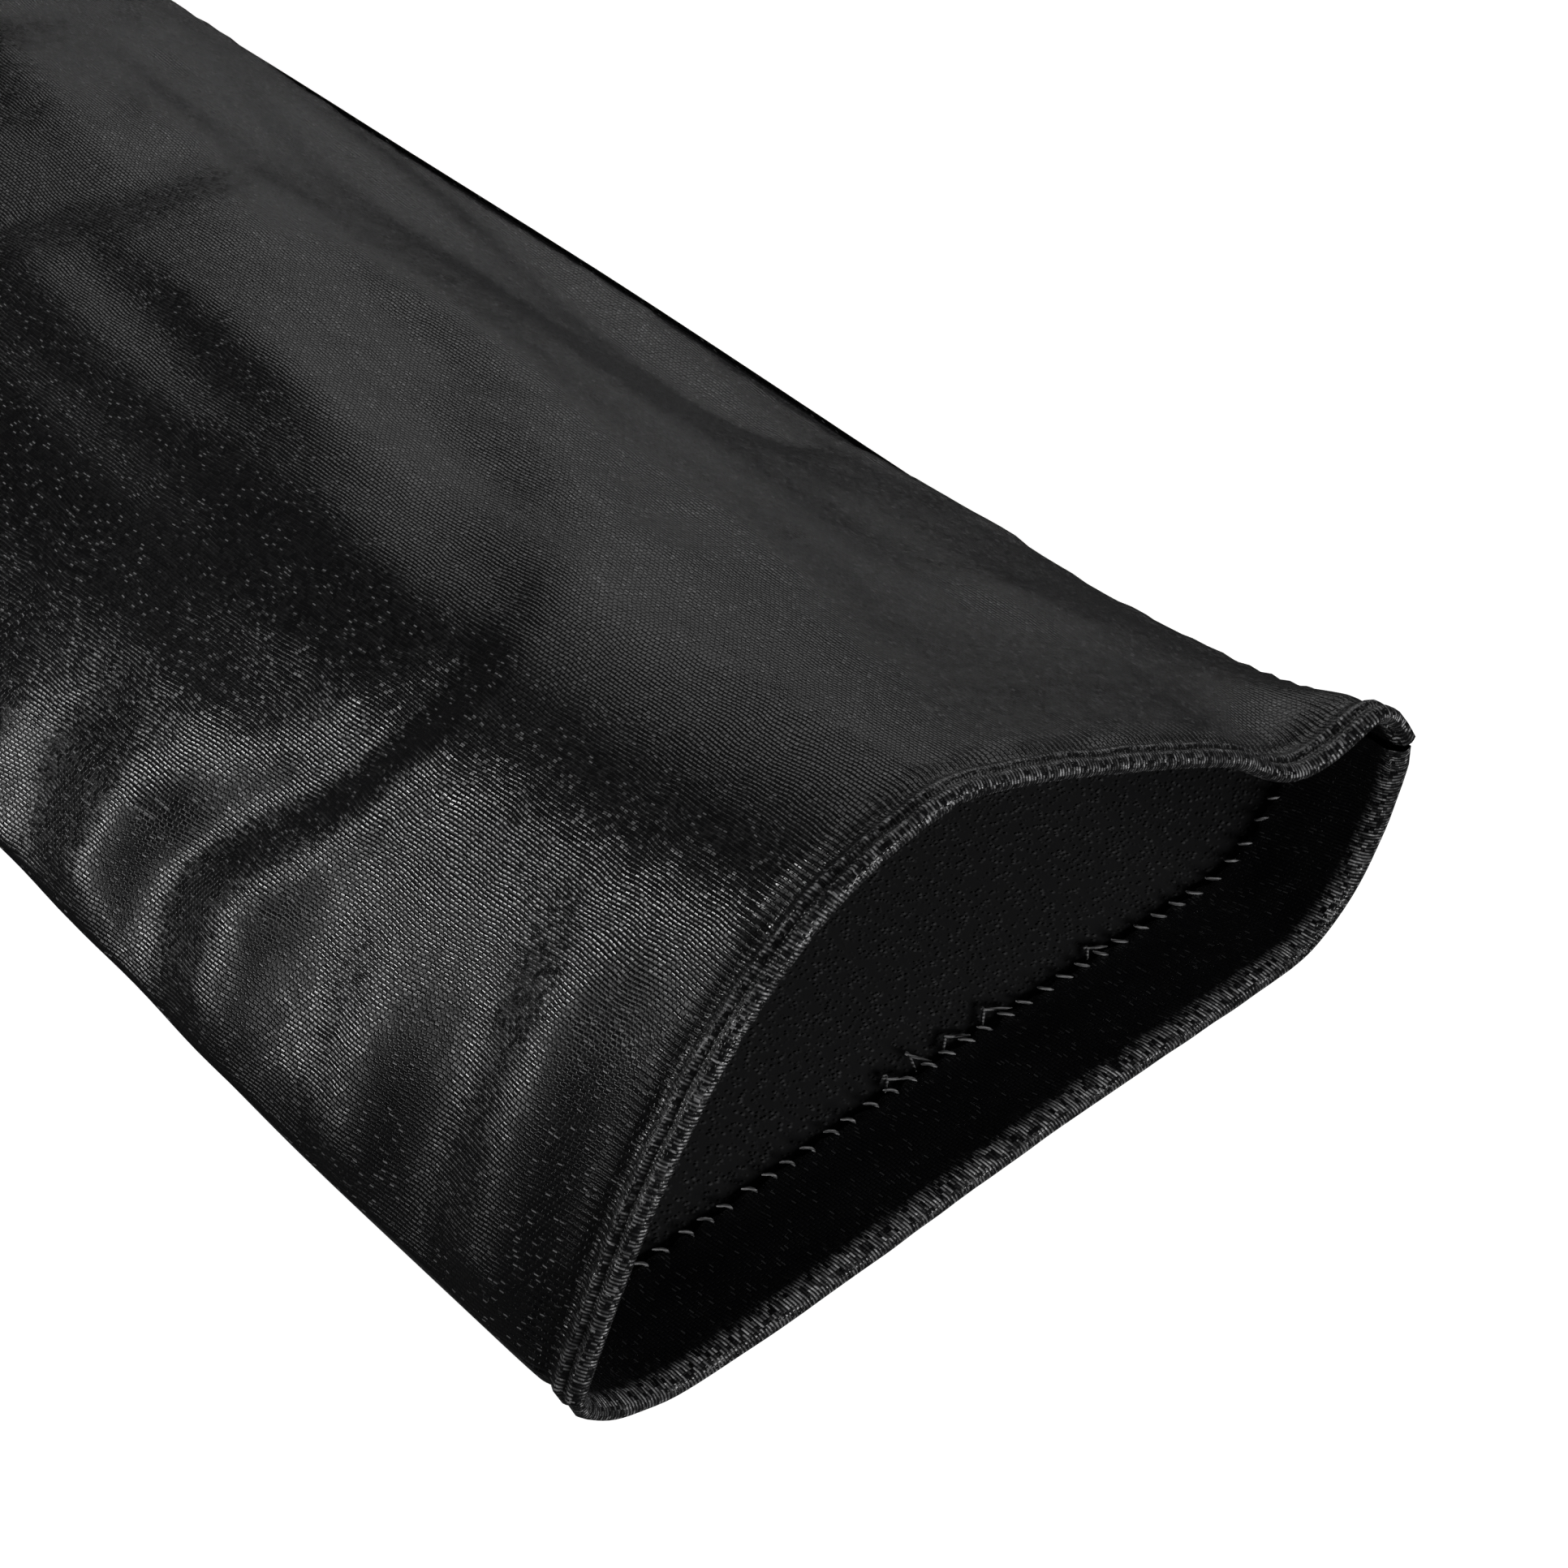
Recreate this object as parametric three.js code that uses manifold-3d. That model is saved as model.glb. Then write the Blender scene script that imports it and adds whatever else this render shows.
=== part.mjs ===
// Long satin evening gloves, a pair laid palm up on a table. Millimetres, +Z up, fingers along +Y.
// A glove is drawn with its wrist-to-finger line on x = 0, its folded edge and its thumb on -X and
// its sewn edge on +X, which is the left glove. The right glove is its mirror image.
// Every piece of cloth is a closed sheet of one layer, so the glove is open from cuff to fingertips.

import * as THREE from 'three';
import { mergeVertices } from 'three/addons/utils/BufferGeometryUtils.js';
import Module from 'manifold-3d';

const wasm = await Module();
wasm.setup();

// cloth and clearances
const clothThickness = 0.9; // stretch satin, one layer with its lofted back
const pieceGap = 0.3; // between pieces that meet at a seam, at a fold or across a bend
const hemGap = 0.4; // between the sleeve and the hem turned in under it
const pairGap = 86; // between the two cuffs

// lengths along the glove
const upperSleeveLength = 140; // cuff to elbow bend
const swellLength = 48; // cuff to where the raised mouth has settled
const forearmLength = 225; // elbow bend to wrist
const forearmFullness = 108; // elbow bend to the fullest part of the forearm
const palmLength = 98; // wrist to the roots of the fingers

// widths and heights as the glove lies; fold and seam are the heights of its two side edges
const cuff = { width: 113, height: 57, fold: 9, seam: 24 };
const swell = { width: 114.5, height: 44, fold: 8, seam: 13 };
const elbow = { width: 109, height: 29, fold: 7, seam: 7 };
const forearm = { width: 94, height: 20, fold: 6, seam: 6 };
const wrist = { width: 73, height: 12.5, fold: 5, seam: 5 };
const knuckles = { height: 10.5, fold: 4.2, seam: 4.2 };

// the open mouth
const upperLipSetBack = 3; // the raised lip stands back from the cuff line
const lowerLipReach = 2; // the lip on the table bows forward of it
const hemDepth = 13.5; // width of the hem turned in
const hemStitchWidth = 1; // row of thread that holds the hem's raw edge
const hemStitchThickness = 0.5;

// the sewn edge's allowance, inside the glove
const seamAllowance = 4;
const seamThickness = 0.7;
const seamInset = 3; // from the inner face of the sewn edge

// fingers, thumb side first; splay is in degrees towards the thumb
const fingers = [
  { name: 'index', length: 70, rootWidth: 21, tipWidth: 15.5, splay: 2.6 },
  { name: 'middle', length: 80, rootWidth: 21.5, tipWidth: 16, splay: 0.6 },
  { name: 'ring', length: 73, rootWidth: 20.5, tipWidth: 15, splay: -1.8 },
  { name: 'little', length: 57, rootWidth: 19, tipWidth: 13.5, splay: -4.6 },
];
const fingerRoot = { height: 9.5, edge: 4.2 };
const fingerTip = { height: 8, edge: 3.8 };
const webGap = 1; // between neighbouring fingers at their roots
const fourchetteRoot = 4; // height of the side strips at the finger roots and near the tips
const fourchetteTip = 1.4;

// thumb, measured from the wrist; its mouth lies in a plane along the hand's folded edge
const thumbRootStart = 18;
const thumbRootWidth = 36;
const thumbSeamInset = 6; // how far inside the hand's edge the thumb is set
const thumbLength = 62;
const thumbAngle = 45; // degrees from the fingers' line
const thumbTipWidth = 16;
const thumbRoot = { height: 10, edge: 4.2 };
const thumbTip = { height: 8.5, edge: 3.8 };

// shape of a cross-section
const crestShift = -0.13; // crest of the open mouth, towards the folded edge
const roundPower = 2.3; // fall of the upper layer to a rounded edge
const slopePower = 1.25; // fall of the upper layer from the mouth's crest to the sewn edge
const flatShare = 0.72; // share of the lower layer that lies on the table
const wallTurn = 8; // how sharply the wall's thickness turns level at an edge

// divisions of the sheets
const sleeveColumns = 12;
const sleeveRows = 6;
const hemRows = 3; // shared by the hem and the sleeve over it, so that their twists match
const fingerColumns = 6;
const fingerRows = 7;
const handRows = 4;

// places that follow from the sizes
const elbowY = upperSleeveLength;
const forearmY = elbowY + forearmFullness;
const wristY = elbowY + forearmLength;
const knuckleY = wristY + palmLength;
const knuckleWidth = fingers.reduce((sum, finger) => sum + finger.rootWidth, 0)
  + webGap * (fingers.length - 1);
const gloveOffset = (cuff.width + pairGap) / 2;

const { lerp, degToRad } = THREE.MathUtils;
const satin = { color: 0x1b1b1e, roughness: 0.42, metalness: 0 };
const wrongSide = { color: 0x101012, roughness: 0.85, metalness: 0 };
const thread = { color: 0x18181a, roughness: 0.6, metalness: 0 };

// ---- sheets of cloth

function signedVolume(geometry) {
  const { position } = geometry.attributes;
  const corners = [new THREE.Vector3(), new THREE.Vector3(), new THREE.Vector3()];
  let sum = 0;
  for (let i = 0; i < geometry.index.count; i += 3) {
    corners.forEach((corner, k) => corner.fromBufferAttribute(position, geometry.index.getX(i + k)));
    sum += corners[0].dot(corners[1].cross(corners[2]));
  }
  return sum / 6;
}

// Joins a shape's vertices and turns its faces outwards.
function closed(geometry) {
  geometry.deleteAttribute('normal');
  geometry.deleteAttribute('uv');
  const merged = mergeVertices(geometry);
  if (signedVolume(merged) < 0) {
    const index = merged.index;
    for (let i = 0; i < index.count; i += 3) {
      const first = index.getX(i);
      index.setX(i, index.getX(i + 1));
      index.setX(i + 1, first);
    }
  }
  merged.computeVertexNormals();
  return merged;
}

// A sheet across (u, -1 to 1) by along (v, 0 to 1) by through (w, 0 to 1), with each point placed.
function sheet(columns, rows, place) {
  const geometry = new THREE.BoxGeometry(2, 1, 1, columns, rows, 1);
  geometry.translate(0, 0.5, 0.5);
  const { position } = geometry.attributes;
  for (let i = 0; i < position.count; i++) {
    const u = Math.sin((position.getX(i) * Math.PI) / 2);
    position.setXYZ(i, ...place(u, position.getY(i), position.getZ(i)));
  }
  return closed(geometry);
}

function toSolid(geometry) {
  return new wasm.Manifold(new wasm.Mesh({
    numProp: 3,
    vertProperties: Float32Array.from(geometry.attributes.position.array),
    triVerts: Uint32Array.from(geometry.index.array),
  }));
}

function cutFrom(geometry, tool) {
  const mesh = toSolid(geometry).subtract(toSolid(tool)).getMesh();
  const result = new THREE.BufferGeometry();
  result.setAttribute('position', new THREE.BufferAttribute(mesh.vertProperties, 3));
  result.setIndex(new THREE.BufferAttribute(mesh.triVerts, 1));
  return closed(result);
}

// ---- cross-sections of the sleeve and hand

const stations = [
  { y: 0, ...cuff, lean: 1 },
  { y: swellLength, ...swell, lean: 0.8 },
  { y: elbowY, ...elbow, lean: 0.4 },
  { y: forearmY, ...forearm, lean: 0.1 },
  { y: wristY, ...wrist, lean: 0 },
  { y: knuckleY, ...knuckles, width: knuckleWidth, lean: 0 },
];
const stationTrack = new THREE.CubicInterpolant(
  stations.map((station) => station.y),
  stations.flatMap((s) => [s.width / 2, s.height, s.fold, s.seam, s.lean]),
  5,
);

function sectionAt(y) {
  const [halfWidth, height, fold, seam, lean] = stationTrack.evaluate(y);
  return { halfWidth, height, fold, seam, lean };
}

// Height of the upper layer over its edges: 0 at both edges and 1 at the crest.
function crown(u, lean) {
  const crest = crestShift * lean;
  if (u < crest) return 1 - ((crest - u) / (1 + crest)) ** roundPower;
  return 1 - ((u - crest) / (1 - crest)) ** lerp(roundPower, slopePower, lean);
}

// Rise of the lower layer off the table: 0 over its flat middle and 1 at both edges.
function cup(u) {
  const side = Math.max(0, (Math.abs(u) - flatShare) / (1 - flatShare));
  return 1 - Math.sqrt(1 - side * side);
}

// A point of the upper (+1) or lower (-1) layer, inset from the glove's outer face.
function layerPoint(y, u, layer, inset, gap = pieceGap / 2) {
  const section = sectionAt(y);
  const wall = inset * (1 - Math.abs(u) ** wallTurn);
  const edge = lerp(section.fold, section.seam, (u + 1) / 2) + layer * gap;
  const x = (section.halfWidth - inset) * u;
  const settle = Math.max(0, 1 - y / swellLength) ** 2 * (1 - u * u);
  if (layer > 0) {
    const z = edge + (section.height - edge) * crown(u, section.lean) - wall;
    return [x, y + upperLipSetBack * settle, z];
  }
  return [x, y - lowerLipReach * settle, edge * cup(u) + wall];
}

// ---- sleeve, hem and side seam

// Rows at even steps between two places along the glove.
function rowsBetween(from, to, rows) {
  return Array.from({ length: rows + 1 }, (_, i) => lerp(from, to, i / rows));
}

const hemEnd = hemDepth + pieceGap;
const hemRow = hemEnd + hemStitchWidth;
const lipRows = rowsBetween(0, hemDepth, hemRows);
const upperRows = [...lipRows.slice(0, -1), ...rowsBetween(hemRow, elbowY - pieceGap / 2, sleeveRows)];
const forearmRows = rowsBetween(elbowY + pieceGap / 2, wristY - pieceGap / 2, sleeveRows);
const palmRows = rowsBetween(wristY + pieceGap / 2, knuckleY - pieceGap / 2, handRows);

function tubePanel(layer, rows) {
  return sheet(sleeveColumns, rows.length - 1, (u, v, w) => {
    const inset = clothThickness * (layer > 0 ? 1 - w : w);
    return layerPoint(rows[Math.round(v * (rows.length - 1))], u, layer, inset);
  });
}

// A closed band round the inside of the sleeve, between two depths from the cuff.
function sleeveBand(from, to, inset, thickness, rows = 1) {
  const steps = rowsBetween(0, 1, rows);
  const outline = [...steps.map((y) => [2, y]), ...steps.toReversed().map((y) => [1, y]), [2, 0]];
  const profile = outline.map(([r, y]) => new THREE.Vector2(r, y));
  const geometry = new THREE.LatheGeometry(profile, sleeveColumns * 2);
  const { position } = geometry.attributes;
  for (let i = 0; i < position.count; i++) {
    const radius = Math.hypot(position.getX(i), position.getZ(i));
    const u = position.getZ(i) / radius;
    const depth = lerp(from, to, position.getY(i));
    const layer = position.getX(i) >= 0 ? 1 : -1;
    position.setXYZ(i, ...layerPoint(depth, u, layer, inset + thickness * (2 - radius), 0));
  }
  return closed(geometry);
}

// The two raw edges of the side seam, pressed together inside the sewn edge.
function seamStrip(rows) {
  return sheet(1, rows.length - 1, (u, v, w) => {
    const y = rows[Math.round(v * (rows.length - 1))];
    const section = sectionAt(y);
    const outer = section.halfWidth - clothThickness - seamInset;
    return [outer - (seamAllowance * (1 - u)) / 2, y, section.seam + seamThickness * (w - 0.5)];
  });
}

// ---- fingers

const straightShare = 0.68; // share of a finger's rows before its rounded end
const tipTurn = degToRad(78);

// Outline of a finger at v: how far along, its half width, and how far the end has closed.
function fingerStation(finger, v) {
  const tipReach = finger.tipWidth * 0.6;
  const body = finger.length - tipReach;
  const along = Math.min(v / straightShare, 1);
  const halfWidth = lerp(finger.rootWidth, finger.tipWidth, along) / 2;
  const turn = (Math.max(0, v - straightShare) / (1 - straightShare)) * tipTurn;
  return {
    along,
    y: body * along + (tipReach * Math.sin(turn)) / Math.sin(tipTurn),
    halfWidth: halfWidth * Math.cos(turn),
    open: Math.cos((turn / tipTurn) * (Math.PI / 2)),
    forward: Math.sin(turn),
    height: lerp(fingerRoot.height, fingerTip.height, along),
    edge: lerp(fingerRoot.edge, fingerTip.edge, along),
    strip: lerp(fourchetteRoot, fourchetteTip, along),
  };
}

// How far a layer's edge stands from the edge line, where a side strip is sewn in or isn't.
function edgeLift(station, hasStrip) {
  return (hasStrip ? station.strip / 2 + pieceGap / 2 : 0) * station.open + pieceGap / 2;
}

function closingLayer(station, u, layer, lift, inset) {
  const wall = inset * (1 - Math.abs(u) ** wallTurn) * station.open;
  const edge = station.edge + layer * lift;
  if (layer > 0) {
    return edge + (station.height - edge) * crown(u, 0) * station.open - wall;
  }
  return edge * (1 - (1 - cup(u)) * station.open) + wall;
}

function fingerPanel(finger, layer, strips) {
  const lean = Math.tan(degToRad(finger.splay));
  return sheet(fingerColumns, fingerRows, (u, v, w) => {
    const station = fingerStation(finger, v);
    const inset = clothThickness * (layer > 0 ? 1 - w : w);
    const lift = lerp(edgeLift(station, strips.thumbSide), edgeLift(station, strips.farSide), (u + 1) / 2);
    const y = station.y - inset * station.forward;
    return [(station.halfWidth - inset) * u - y * lean, y, closingLayer(station, u, layer, lift, inset)];
  });
}

// A fourchette: the strip between the palm and back of a finger, side -1 towards the thumb.
function fourchette(finger, side) {
  const lean = Math.tan(degToRad(finger.splay));
  return sheet(1, fingerRows, (u, v, w) => {
    const station = fingerStation(finger, v * straightShare);
    const x = side * (station.halfWidth - clothThickness * (1 - w)) - station.y * lean;
    return [x, station.y, station.edge + (station.strip / 2) * u];
  });
}

// ---- thumb

const thumbMiddleY = wristY + thumbRootStart + thumbRootWidth / 2;
const thumbPlane = sectionAt(thumbMiddleY).halfWidth - thumbSeamInset;
const thumbAlong = new THREE.Vector2(-Math.sin(degToRad(thumbAngle)), Math.cos(degToRad(thumbAngle)));
const thumbAcross = new THREE.Vector2(thumbAlong.y, -thumbAlong.x);
const thumbEnd = new THREE.Vector2(-thumbPlane, thumbMiddleY).addScaledVector(thumbAlong, thumbLength);

// One edge of the thumb in plan, from its root on the hand's edge to where its end rounds over.
function thumbEdge(side) {
  const root = new THREE.Vector2(
    -thumbPlane - pieceGap,
    thumbMiddleY + side * (thumbRootWidth / 2 - pieceGap),
  );
  const end = thumbEnd.clone().addScaledVector(thumbAcross, (side * thumbTipWidth) / 2);
  const reach = thumbLength / 3;
  const leave = root.clone().add(new THREE.Vector2(-reach * 0.75, (-side * reach) / 4));
  return new THREE.CubicBezierCurve(root, leave, end.clone().addScaledVector(thumbAlong, -reach), end);
}

const thumbLowEdge = thumbEdge(-1);
const thumbHighEdge = thumbEdge(1);

function thumbPanel(layer) {
  return sheet(fingerColumns, fingerRows, (u, v, w) => {
    const along = Math.min(v / straightShare, 1);
    const turn = (Math.max(0, v - straightShare) / (1 - straightShare)) * tipTurn;
    const station = {
      open: Math.cos((turn / tipTurn) * (Math.PI / 2)),
      height: lerp(thumbRoot.height, thumbTip.height, along),
      edge: lerp(thumbRoot.edge, thumbTip.edge, along),
    };
    const inset = clothThickness * (layer > 0 ? 1 - w : w);
    const low = thumbLowEdge.getPoint(along);
    const high = thumbHighEdge.getPoint(along);
    const half = high.clone().sub(low).multiplyScalar(0.5);
    const shrink = ((half.length() - inset) / half.length()) * Math.cos(turn);
    const forward = (Math.sin(turn) / Math.sin(tipTurn)) * (thumbTipWidth * 0.6) - inset * Math.sin(turn);
    const point = low.add(high).multiplyScalar(0.5)
      .addScaledVector(half, shrink * u)
      .addScaledVector(thumbAlong, forward);
    return [point.x, point.y, closingLayer(station, u, layer, pieceGap / 2, inset)];
  });
}

// The block that clears the hand's edge where the thumb is let in.
function thumbOpening() {
  const reach = knuckleWidth;
  const height = wrist.height * 4;
  const block = new THREE.BoxGeometry(reach, thumbRootWidth, height);
  block.translate(-thumbPlane - reach / 2, thumbMiddleY, 0);
  return closed(block);
}

// ---- a glove

function piece(side, name, geometry, finish, position = [0, 0, 0]) {
  const mirror = side === 'right' ? -1 : 1;
  const shape = mirror < 0 ? closed(geometry.clone().scale(-1, 1, 1)) : geometry;
  const mesh = new THREE.Mesh(shape, new THREE.MeshStandardMaterial(finish));
  mesh.name = `${side}_${name}`;
  mesh.position.set(mirror * position[0], position[1], position[2]);
  return mesh;
}

function sleevePieces(side) {
  const inset = clothThickness + hemGap;
  const seamRows = [hemRow + pieceGap, ...upperRows.slice(hemRows + 1)];
  return [
    piece(side, 'upper_sleeve_palm', tubePanel(1, upperRows), satin),
    piece(side, 'upper_sleeve_back', tubePanel(-1, upperRows), satin),
    piece(side, 'forearm_palm', tubePanel(1, forearmRows), satin),
    piece(side, 'forearm_back', tubePanel(-1, forearmRows), satin),
    piece(side, 'hem_facing', sleeveBand(0, hemDepth, inset, clothThickness, hemRows), satin),
    piece(side, 'hem_stitching', sleeveBand(hemEnd, hemRow, inset, hemStitchThickness), thread),
    piece(side, 'upper_side_seam', seamStrip(seamRows), wrongSide),
    piece(side, 'forearm_side_seam', seamStrip(forearmRows), wrongSide),
  ];
}

function handPieces(side) {
  const opening = thumbOpening();
  return [
    piece(side, 'hand_palm', cutFrom(tubePanel(1, palmRows), opening), satin),
    piece(side, 'hand_back', cutFrom(tubePanel(-1, palmRows), opening), satin),
    piece(side, 'hand_side_seam', seamStrip(palmRows), wrongSide),
    piece(side, 'thumb_palm', thumbPanel(1), satin),
    piece(side, 'thumb_back', thumbPanel(-1), satin),
  ];
}

function fingerPieces(side) {
  const meshes = [];
  let x = -knuckleWidth / 2;
  fingers.forEach((finger, i) => {
    const strips = { thumbSide: i > 0, farSide: i < fingers.length - 1 };
    const root = [x + finger.rootWidth / 2, knuckleY + pieceGap / 2, 0];
    meshes.push(piece(side, `${finger.name}_palm`, fingerPanel(finger, 1, strips), satin, root));
    meshes.push(piece(side, `${finger.name}_back`, fingerPanel(finger, -1, strips), satin, root));
    if (strips.thumbSide) {
      meshes.push(piece(side, `${finger.name}_thumbward_fourchette`, fourchette(finger, -1), satin, root));
    }
    if (strips.farSide) {
      meshes.push(piece(side, `${finger.name}_outward_fourchette`, fourchette(finger, 1), satin, root));
    }
    x += finger.rootWidth + webGap;
  });
  return meshes;
}

function glove(side) {
  const group = new THREE.Group();
  group.add(...sleevePieces(side), ...handPieces(side), ...fingerPieces(side));
  group.position.x = side === 'right' ? -gloveOffset : gloveOffset;
  return group;
}

// ---- the pair, with its origin on the table under the middle of its box

const pair = new THREE.Group();
pair.add(glove('left'), glove('right'));
pair.updateMatrixWorld(true);
const middle = new THREE.Box3().setFromObject(pair, true).getCenter(new THREE.Vector3());
pair.position.set(-middle.x, -middle.y, 0);

export default pair;
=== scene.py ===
import math

import bpy
import numpy as np
from mathutils import Matrix, Vector


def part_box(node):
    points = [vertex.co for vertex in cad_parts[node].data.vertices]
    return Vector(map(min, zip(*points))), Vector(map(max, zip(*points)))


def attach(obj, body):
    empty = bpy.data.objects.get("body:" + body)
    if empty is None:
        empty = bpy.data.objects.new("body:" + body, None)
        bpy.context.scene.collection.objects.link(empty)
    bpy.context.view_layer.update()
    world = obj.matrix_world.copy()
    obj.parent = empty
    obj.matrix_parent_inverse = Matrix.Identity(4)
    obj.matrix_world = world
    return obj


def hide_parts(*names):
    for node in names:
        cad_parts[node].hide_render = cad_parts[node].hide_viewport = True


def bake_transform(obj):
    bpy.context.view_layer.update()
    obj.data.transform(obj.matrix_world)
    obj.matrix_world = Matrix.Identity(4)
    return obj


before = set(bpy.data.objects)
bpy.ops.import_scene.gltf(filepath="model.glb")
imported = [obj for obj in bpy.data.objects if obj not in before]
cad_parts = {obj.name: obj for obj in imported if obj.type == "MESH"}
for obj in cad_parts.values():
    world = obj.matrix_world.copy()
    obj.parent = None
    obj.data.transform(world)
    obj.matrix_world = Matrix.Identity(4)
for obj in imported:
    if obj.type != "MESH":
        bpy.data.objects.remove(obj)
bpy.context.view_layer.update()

print("frame loaded,", len(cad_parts), "nodes")

# Lengths are worked out in millimetres in a glove's own frame: x across, with the folded edge and
# the thumb on -x, y along from the cuff to the fingers, z up from the table.
mm = 0.001

sleeve = dict(
    # stations along the glove: cuff, swell, elbow, forearm, wrist, finger roots
    swellLength=48, forearmFullness=108,
    width=(113, 115.5, 111, 94, 73, 85),
    height=(57, 44, 29, 20, 12.5, 10.5),
    fold=(9, 8, 7, 6, 5, 4.2),
    seam=(24.6, 13, 7, 6, 5, 4.2),
    lean=(1, 0.8, 0.4, 0.1, 0, 0),
    crestShift=-0.13, roundPower=2.3, slopePower=1.25, flatShare=0.72,
    upperLipSetBack=3, lowerLipReach=2,
    cloth=0.9,  # thickness with its lofted back
    splitShare=0.5,  # of the forearm, where the sleeve cloth ends and the hand cloth starts
)
hem = dict(depth=13.5, facingDepth=1.75, facingCloth=0.6, stitchPitch=2.8, stitchLength=1.5,
           threadRadius=0.17, seed=7)
hand = dict(lobeReach=40, lobePower=1.6)
fingers = dict(
    index=dict(rootWidth=21, tipWidth=15.5, splay=2.6, strips=(0, 1)),
    middle=dict(rootWidth=21.5, tipWidth=16, splay=0.6, strips=(1, 1)),
    ring=dict(rootWidth=20.5, tipWidth=15, splay=-1.8, strips=(1, 1)),
    little=dict(rootWidth=19, tipWidth=13.5, splay=-4.6, strips=(1, 0)),
)
fingerShape = dict(rootHeight=9.5, tipHeight=8, rootEdge=4.2, tipEdge=3.8, webGap=1,
                   stripRoot=4, stripTip=1.4, columns=30, wallColumns=6, rows=44, tipRows=16,
                   bendLength=20)
thumb = dict(rootStart=18, rootWidth=36, seamInset=6, length=62, angle=45, tipWidth=16,
             rootHeight=10, tipHeight=8.5, rootEdge=4.2, tipEdge=3.8, columns=30, rows=54,
             tipRows=14, rootReach=9)


def boxOf(node):
    low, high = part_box(node)
    return np.array(low) / mm, np.array(high) / mm


sleeveLow, sleeveHigh = boxOf("left_upper_sleeve_palm")
gloveX = (sleeveLow[0] + sleeveHigh[0]) / 2
cuffY = sleeveLow[1]
forearmLow, forearmHigh = boxOf("left_forearm_palm")
handLow, handHigh = boxOf("left_hand_palm")
elbowY = (sleeveHigh[1] + forearmLow[1]) / 2 - cuffY
wristY = (forearmHigh[1] + handLow[1]) / 2 - cuffY
knuckleY = (handHigh[1] + boxOf("left_index_palm")[0][1]) / 2 - cuffY
splitY = elbowY + (wristY - elbowY) * sleeve["splitShare"]
fingerNames = list(fingers)
stationY = np.array([0, sleeve["swellLength"], elbowY, elbowY + sleeve["forearmFullness"],
                     wristY, knuckleY])


def toWorld(points, side):
    points = np.asarray(points, float)
    sign = 1 if side == "left" else -1
    return np.stack([sign * (gloveX + points[..., 0]), points[..., 1] + cuffY, points[..., 2]],
                    -1) * mm


def lerp(a, b, t):
    return a + (b - a) * t


def smooth(t, low=0.0, high=1.0):
    t = np.clip((t - low) / (high - low), 0, 1)
    return t * t * (3 - 2 * t)


def bell(x, middle, width):
    return np.exp(-(((x - middle) / width) ** 2))


# A smooth curve through values at the stations.
def track(y, values):
    values = np.asarray(values, float)
    secants = np.diff(values) / np.diff(stationY)
    slopes = np.concatenate([secants[:1], (secants[1:] + secants[:-1]) / 2, secants[-1:]])
    i = np.clip(np.searchsorted(stationY, y, side="right") - 1, 0, len(stationY) - 2)
    step = stationY[i + 1] - stationY[i]
    t = (y - stationY[i]) / step
    return ((2 * t**3 - 3 * t**2 + 1) * values[i] + (t**3 - 2 * t**2 + t) * step * slopes[i]
            + (3 * t**2 - 2 * t**3) * values[i + 1] + (t**3 - t**2) * step * slopes[i + 1])


# Slow random waves over two coordinates, from about -1 to 1.
def waves(a, b, lengthA, lengthB, seed, count=7):
    draw = np.random.default_rng(seed)
    total = 0
    for _ in range(count):
        fa, fb = draw.uniform(0.5, 1.6) / lengthA, draw.uniform(-1.2, 1.2) / lengthB
        total = total + np.sin(2 * np.pi * (a * fa + b * fb) + draw.uniform(0, 2 * np.pi))
    return total / math.sqrt(count * 1.6)


# Distance of points from a polyline in the plane, and how far along it the nearest place is.
def alongLine(x, y, line):
    best = np.full(np.shape(x), 1e9)
    place = np.zeros(np.shape(x))
    for i in range(len(line) - 1):
        ax, ay = line[i]
        dx, dy = line[i + 1][0] - ax, line[i + 1][1] - ay
        t = np.clip(((x - ax) * dx + (y - ay) * dy) / (dx * dx + dy * dy), 0, 1)
        px, py = x - ax - t * dx, y - ay - t * dy
        distance = np.hypot(px, py)
        nearer = distance < best
        best = np.where(nearer, distance, best)
        place = np.where(nearer, (i + t) / (len(line) - 1), place)
    return best, place


def crown(u, lean):
    crest = sleeve["crestShift"] * lean
    fall = lerp(sleeve["roundPower"], sleeve["slopePower"], lean)
    left = np.clip((crest - u) / (1 + crest), 0, 1)
    right = np.clip((u - crest) / (1 - crest), 0, 1)
    return np.where(u < crest, 1 - left ** sleeve["roundPower"], 1 - right**fall)


def cup(u):
    side = np.clip((np.abs(u) - sleeve["flatShare"]) / (1 - sleeve["flatShare"]), 0, 1)
    return 1 - np.sqrt(1 - side * side)


totalRoot = sum(f["rootWidth"] for f in fingers.values())
knuckleHalf = (totalRoot + fingerShape["webGap"] * 3) / 2
edgeX = -knuckleHalf
for name in fingerNames:
    fingers[name]["centre"] = edgeX + fingers[name]["rootWidth"] / 2
    edgeX += fingers[name]["rootWidth"] + fingerShape["webGap"]


def stripLift(finger, u, strip, opened=1):
    near, far = finger["strips"]
    half = strip / 2 + 0.15
    return lerp(near, far, (u + 1) / 2) * half * opened + 0.1


def fingerLayer(finger, u, layer, height, edge, strip, opened=1):
    lift = stripLift(finger, u, strip, opened)
    edge = edge + layer * lift
    if layer > 0:
        return edge + (height - edge) * crown(u, 0) * opened
    return edge * (1 - (1 - cup(u)) * opened)


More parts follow.
